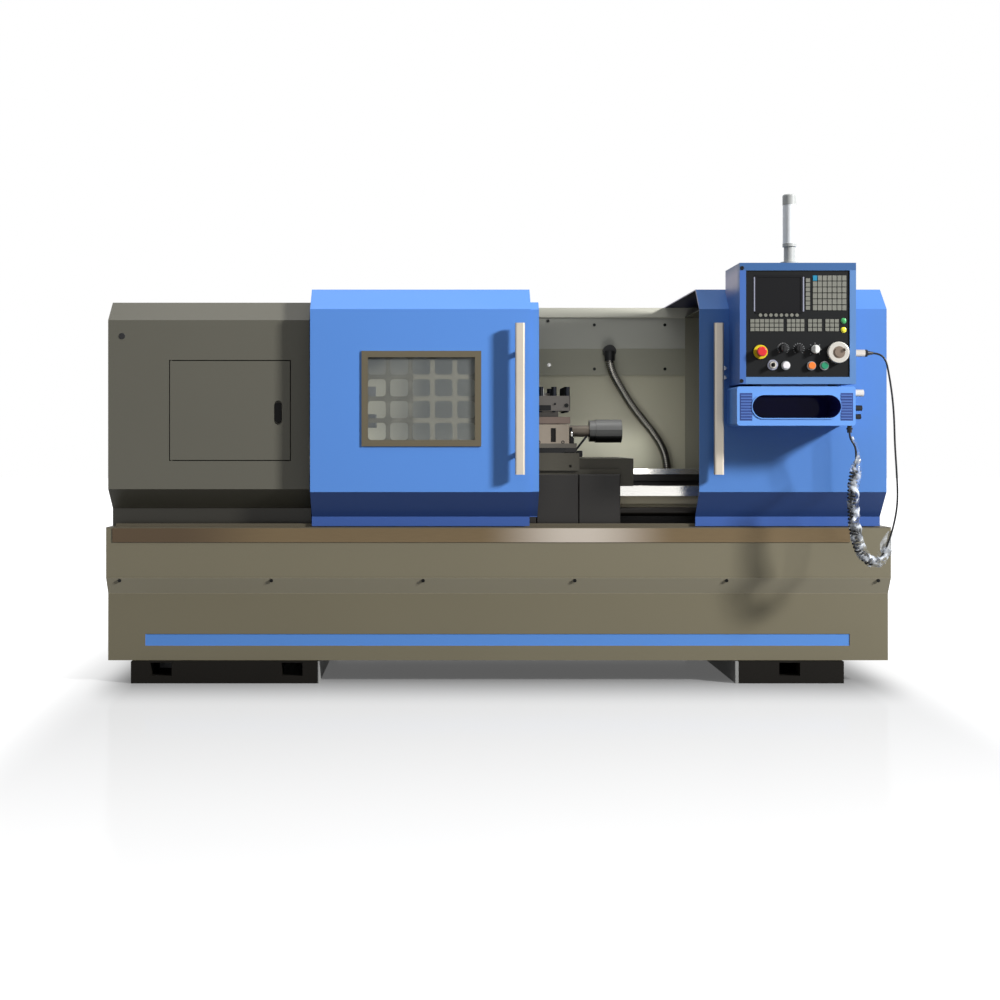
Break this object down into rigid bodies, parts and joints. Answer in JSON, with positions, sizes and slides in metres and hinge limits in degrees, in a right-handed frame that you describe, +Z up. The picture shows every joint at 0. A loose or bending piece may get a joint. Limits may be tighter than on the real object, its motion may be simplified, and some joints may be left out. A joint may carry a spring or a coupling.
{
  "type": "cnc turning lathe",
  "caption": "Flat-bed CNC turning lathe with sliding blue hoods, turret, tailstock and a hood-mounted control panel.",
  "frame": {"origin": "on the floor, in the middle of the four anchor holes", "axes": "+X along the bed to the tailstock, +Y to the rear, +Z up"},
  "size_m": [3.14, 1.47, 1.925],
  "materials": {
    "base_paint": "satin textured paint",
    "cover_paint": "satin textured paint",
    "blue_paint": "satin paint",
    "cream_paint": "satin paint",
    "trim_steel": "brushed",
    "screws": "blackened",
    "cast_iron": "painted casting",
    "apron": "satin paint",
    "motor_case": "cast",
    "bright_steel": "ground",
    "turret_steel": "ground",
    "dark_steel": "blackened",
    "belt": "matt",
    "black_plastic": "fine grain",
    "hose_metal": "ribbed",
    "frame_tan": "satin paint",
    "pane": "clear",
    "handle_metal": "anodised",
    "panel_black": "matt print",
    "screen_glass": "gloss",
    "keys": "membrane",
    "red_plastic": "gloss",
    "white_plastic": "gloss",
    "orange_plastic": "gloss",
    "green_plastic": "gloss",
    "wheel_metal": "turned",
    "lamp_grey": "satin",
    "lamp_clear": "frosted",
    "cord_black": "satin"
  },
  "bodies": {
    "machine": {"chip_tray": "base_paint", "tray_trim": "trim_steel", "skirts": "base_paint", "panel_screws": "screws", "pedestals": "cast_iron", "drive_motors": "motor_case", "bed": "cast_iron", "headstock": "cast_iron", "drive_belt": "belt", "headstock_cover": "cover_paint", "tail_cover": "cover_paint", "rear_wall": "cream_paint", "electrical_cabinet": "cream_paint", "hose_glands": "black_plastic", "conduit_hose": "hose_metal"},
    "spindle": {"spindle": "bright_steel", "chuck_body": "dark_steel"},
    "motor_pulley": {"motor_pulley": "bright_steel"},
    "jaw_a": {"jaw_a": "dark_steel"},
    "jaw_b": {"jaw_b": "dark_steel"},
    "jaw_c": {"jaw_c": "dark_steel"},
    "access_door": {"access_door": "cover_paint"},
    "access_latch": {"access_latch": "black_plastic"},
    "cabinet_door": {"cabinet_door": "cream_paint"},
    "z_screw": {"z_screw": "bright_steel"},
    "saddle": {"saddle": "cast_iron", "apron_plates": "apron"},
    "x_screw": {"x_screw": "bright_steel"},
    "cross_slide": {"cross_slide": "cast_iron", "turret_base": "turret_steel"},
    "turret": {"turret_head": "dark_steel", "clamp_bolts": "dark_steel"},
    "tailstock": {"tailstock": "cast_iron"},
    "quill": {"quill": "bright_steel"},
    "tail_wheel": {"tail_wheel": "black_plastic"},
    "left_hood": {"left_hood": "blue_paint", "window_frame": "frame_tan", "window_pane": "pane", "left_handle": "handle_metal"},
    "right_hood": {"right_hood": "blue_paint", "right_handle": "handle_metal", "control_box": "blue_paint", "panel_plate": "panel_black", "screen": "screen_glass", "panel_keys": "keys", "lower_box": "blue_paint", "lamp_frame": "lamp_grey", "lamp_lens": "lamp_clear", "cord_fittings": "black_plastic", "panel_cord": "cord_black", "cord_coil": "cord_black"},
    "stop_button": {"stop_button": "red_plastic"},
    "feed_dial": {"feed_dial": "black_plastic"},
    "speed_dial": {"speed_dial": "black_plastic"},
    "mode_selector": {"mode_selector": "white_plastic"},
    "key_switch": {"key_switch": "black_plastic"},
    "button_white": {"button_white": "white_plastic"},
    "button_orange": {"button_orange": "orange_plastic"},
    "button_green": {"button_green": "green_plastic"},
    "panel_wheel": {"panel_wheel": "wheel_metal"}
  },
  "joints": [
    {"name": "left_hood_slide", "type": "slide", "parent": "machine", "child": "left_hood", "axis": [1, 0, 0], "range_m": [-0.7, 0]},
    {"name": "right_hood_slide", "type": "slide", "parent": "machine", "child": "right_hood", "axis": [1, 0, 0], "range_m": [-0.62, 0]},
    {"name": "access_door_hinge", "type": "hinge", "parent": "machine", "child": "access_door", "pos_m": [-1.312, -0.569, 1.1], "axis": [0, 0, -1], "range_deg": [0, 110]},
    {"name": "access_latch_hinge", "type": "hinge", "parent": "access_door", "child": "access_latch", "pos_m": [-0.883, -0.57, 1.1215], "axis": [-1, 0, 0], "range_deg": [0, 35]},
    {"name": "cabinet_door_hinge", "type": "hinge", "parent": "machine", "child": "cabinet_door", "pos_m": [-1.492, 0.571, 1.1], "axis": [0, 0, 1], "range_deg": [0, 110]},
    {"name": "spindle_spin", "type": "hinge", "parent": "machine", "child": "spindle", "pos_m": [-0.9, -0.215, 1.1], "axis": [1, 0, 0], "continuous": true},
    {"name": "motor_spin", "type": "hinge", "parent": "machine", "child": "motor_pulley", "pos_m": [-1.5, -0.215, 0.18], "axis": [1, 0, 0], "continuous": true},
    {"name": "jaw_a_slide", "type": "slide", "parent": "spindle", "child": "jaw_a", "axis": [0, 0, 1], "range_m": [-0.01, 0.008]},
    {"name": "jaw_b_slide", "type": "slide", "parent": "spindle", "child": "jaw_b", "axis": [0, -0.866, -0.5], "range_m": [-0.01, 0.008]},
    {"name": "jaw_c_slide", "type": "slide", "parent": "spindle", "child": "jaw_c", "axis": [0, 0.866, -0.5], "range_m": [-0.01, 0.008]},
    {"name": "saddle_slide", "type": "slide", "parent": "machine", "child": "saddle", "axis": [1, 0, 0], "range_m": [-0.4, 0.32]},
    {"name": "z_screw_spin", "type": "hinge", "parent": "machine", "child": "z_screw", "pos_m": [0.3, -0.455, 0.685], "axis": [1, 0, 0], "continuous": true},
    {"name": "cross_slide_move", "type": "slide", "parent": "saddle", "child": "cross_slide", "axis": [0, 1, 0], "range_m": [-0.008, 0.13]},
    {"name": "x_screw_spin", "type": "hinge", "parent": "saddle", "child": "x_screw", "pos_m": [0.178, -0.2, 0.906], "axis": [0, 1, 0], "continuous": true},
    {"name": "turret_index", "type": "hinge", "parent": "cross_slide", "child": "turret", "pos_m": [0.178, -0.36, 1.1], "axis": [0, 0, 1], "continuous": true},
    {"name": "tailstock_slide", "type": "slide", "parent": "machine", "child": "tailstock", "axis": [1, 0, 0], "range_m": [-0.3, 0]},
    {"name": "quill_slide", "type": "slide", "parent": "tailstock", "child": "quill", "axis": [-1, 0, 0], "range_m": [0, 0.12]},
    {"name": "tail_wheel_spin", "type": "hinge", "parent": "tailstock", "child": "tail_wheel", "pos_m": [1.42, -0.215, 1.1], "axis": [1, 0, 0], "continuous": true},
    {"name": "stop_push", "type": "slide", "parent": "right_hood", "child": "stop_button", "axis": [0, 1, 0], "range_m": [0, 0.006]},
    {"name": "feed_dial_turn", "type": "hinge", "parent": "right_hood", "child": "feed_dial", "pos_m": [1.078, -0.836, 1.328], "axis": [0, 1, 0], "range_deg": [-150, 150]},
    {"name": "speed_dial_turn", "type": "hinge", "parent": "right_hood", "child": "speed_dial", "pos_m": [1.138, -0.836, 1.327], "axis": [0, 1, 0], "range_deg": [-150, 150]},
    {"name": "mode_turn", "type": "hinge", "parent": "right_hood", "child": "mode_selector", "pos_m": [1.2, -0.836, 1.325], "axis": [0, 1, 0], "range_deg": [-60, 60]},
    {"name": "key_turn", "type": "hinge", "parent": "right_hood", "child": "key_switch", "pos_m": [1.038, -0.836, 1.265], "axis": [0, 1, 0], "range_deg": [0, 90]},
    {"name": "panel_wheel_turn", "type": "hinge", "parent": "right_hood", "child": "panel_wheel", "pos_m": [1.2835, -0.836, 1.312], "axis": [0, 1, 0], "continuous": true},
    {"name": "white_push", "type": "slide", "parent": "right_hood", "child": "button_white", "axis": [0, 1, 0], "range_m": [0, 0.004], "stiffness_N_per_m": 300, "springref_m": -0.004},
    {"name": "orange_push", "type": "slide", "parent": "right_hood", "child": "button_orange", "axis": [0, 1, 0], "range_m": [0, 0.004], "stiffness_N_per_m": 300, "springref_m": -0.004},
    {"name": "green_push", "type": "slide", "parent": "right_hood", "child": "button_green", "axis": [0, 1, 0], "range_m": [0, 0.004], "stiffness_N_per_m": 300, "springref_m": -0.004}
  ],
  "couplings": [
    {"joint": "motor_spin", "follows": "spindle_spin", "ratio": 1.6},
    {"joint": "jaw_b_slide", "follows": "jaw_a_slide", "ratio": 1},
    {"joint": "jaw_c_slide", "follows": "jaw_a_slide", "ratio": 1},
    {"joint": "z_screw_spin", "follows": "saddle_slide", "rad_per_m": 628.32},
    {"joint": "x_screw_spin", "follows": "cross_slide_move", "rad_per_m": 1256.6},
    {"joint": "tail_wheel_spin", "follows": "quill_slide", "rad_per_m": 1256.6}
  ]
}
